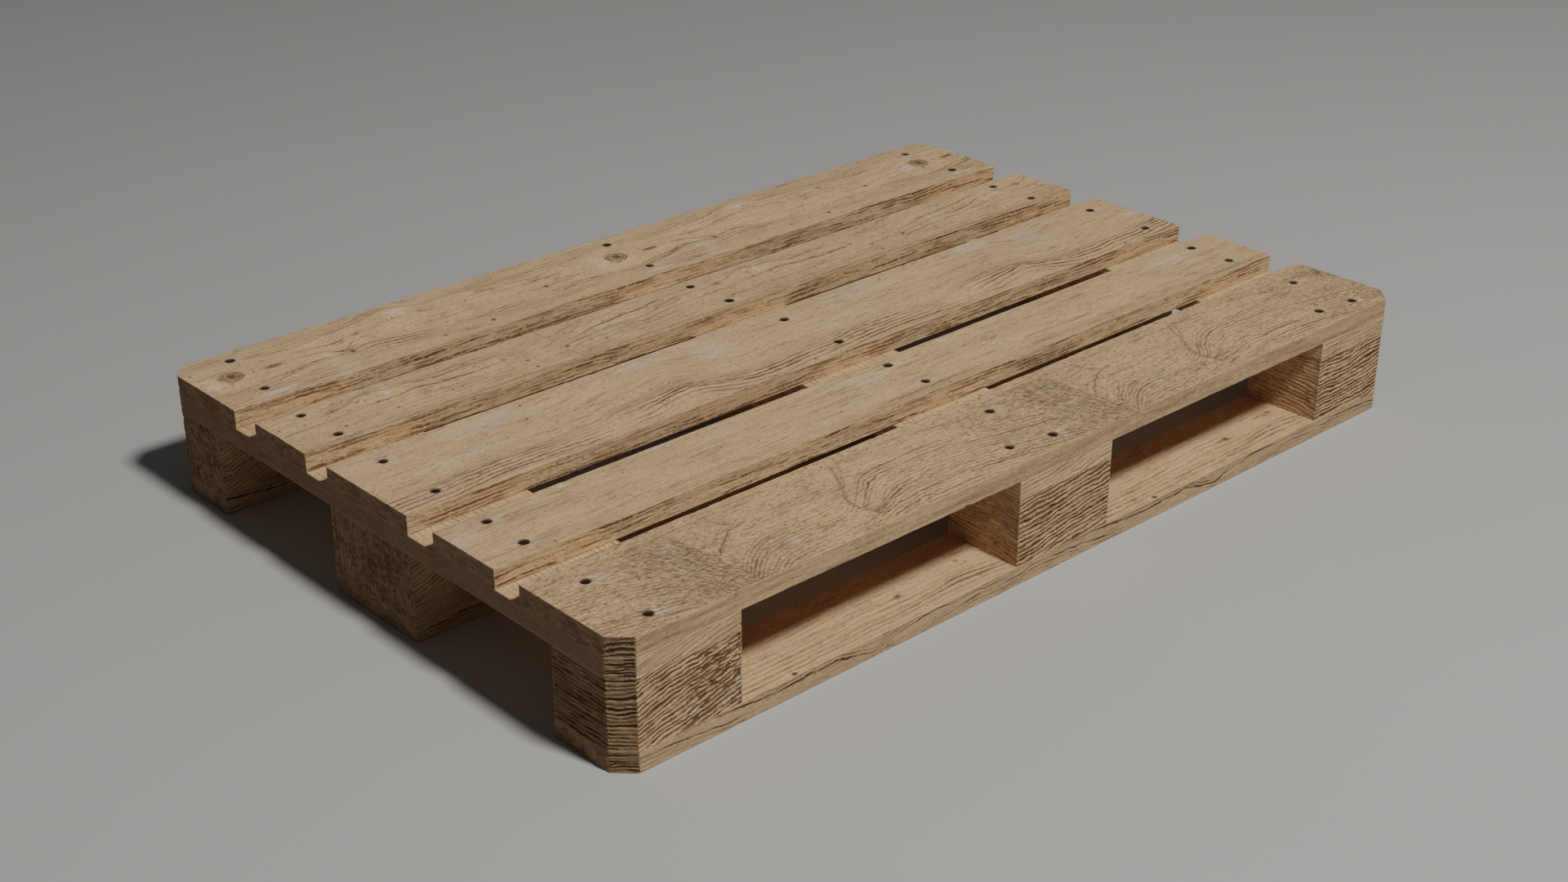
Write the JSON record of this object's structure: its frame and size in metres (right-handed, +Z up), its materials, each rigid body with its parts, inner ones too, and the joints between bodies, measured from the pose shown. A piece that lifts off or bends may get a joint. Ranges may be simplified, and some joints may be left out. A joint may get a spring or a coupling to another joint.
{
  "type": "four-way wooden pallet",
  "caption": "Flat four-way wooden pallet: spaced deck boards on cross boards and square blocks, runners below, nailed together, open for forks on all sides.",
  "frame": {"origin": "middle of the footprint, on the floor under the bottom boards", "axes": "+X along the 1200 mm length and the deck boards, +Y across the 800 mm width, +Z up from the floor to the load deck"},
  "size_m": [1.2, 0.8, 0.144],
  "materials": {
    "deck_wood": "sawn softwood, light tan, weathered, with knots and dark grain",
    "stringer_wood": "sawn softwood, light tan",
    "block_wood": "rough end grain and sawn softwood, cracked",
    "bottom_wood": "sawn softwood, light tan, knotty",
    "nail_steel": "dull dark steel, lightly rusted"
  },
  "bodies": {
    "root": {"deck_board_front_outer": "deck_wood", "deck_board_front_inner": "deck_wood", "deck_board_middle": "deck_wood", "deck_board_rear_inner": "deck_wood", "deck_board_rear_outer": "deck_wood", "stringer_board_left": "stringer_wood", "stringer_board_middle": "stringer_wood", "stringer_board_right": "stringer_wood", "block_front_left": "block_wood", "block_front_middle": "block_wood", "block_front_right": "block_wood", "block_centre_left": "block_wood", "block_centre_middle": "block_wood", "block_centre_right": "block_wood", "block_rear_left": "block_wood", "block_rear_middle": "block_wood", "block_rear_right": "block_wood", "bottom_board_front": "bottom_wood", "bottom_board_middle": "bottom_wood", "bottom_board_rear": "bottom_wood", "nails_top_front_left": "nail_steel", "nails_top_front_middle": "nail_steel", "nails_top_front_right": "nail_steel", "nails_top_centre_left": "nail_steel", "nails_top_centre_middle": "nail_steel", "nails_top_centre_right": "nail_steel", "nails_top_rear_left": "nail_steel", "nails_top_rear_middle": "nail_steel", "nails_top_rear_right": "nail_steel", "nails_stringer_left": "nail_steel", "nails_stringer_middle": "nail_steel", "nails_stringer_right": "nail_steel", "nails_bottom_front_left": "nail_steel", "nails_bottom_front_middle": "nail_steel", "nails_bottom_front_right": "nail_steel", "nails_bottom_centre_left": "nail_steel", "nails_bottom_centre_middle": "nail_steel", "nails_bottom_centre_right": "nail_steel", "nails_bottom_rear_left": "nail_steel", "nails_bottom_rear_middle": "nail_steel", "nails_bottom_rear_right": "nail_steel"}
  },
  "joints": []
}
